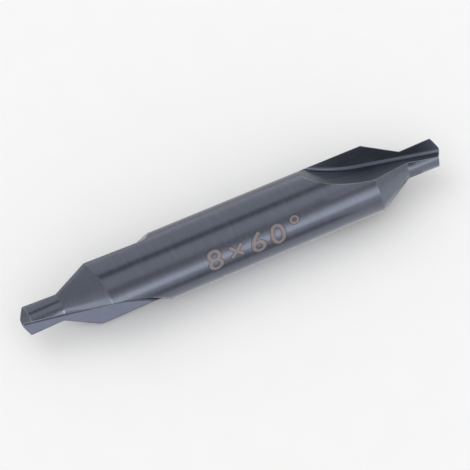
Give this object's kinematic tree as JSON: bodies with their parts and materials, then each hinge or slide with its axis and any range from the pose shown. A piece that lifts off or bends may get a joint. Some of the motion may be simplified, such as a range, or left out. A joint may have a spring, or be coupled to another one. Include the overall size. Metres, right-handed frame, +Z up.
{
  "type": "centre drill",
  "caption": "Double-ended centre drill: plain round shank with a fluted 60 degree countersink and a short pilot drill at each end, for starting holes and lathe centres.",
  "frame": {"origin": "on the tool's axis at mid-length, the centre of the bounding box", "axes": "+X along the axis from one point to the other, +Z up as the tool lies in the picture, +Y away from the viewer"},
  "size_m": [0.0528, 0.008, 0.008],
  "materials": {
    "high_speed_steel": "satin ground, dark blue-grey"
  },
  "bodies": {
    "root": {"centre_drill": "high_speed_steel"}
  },
  "joints": []
}
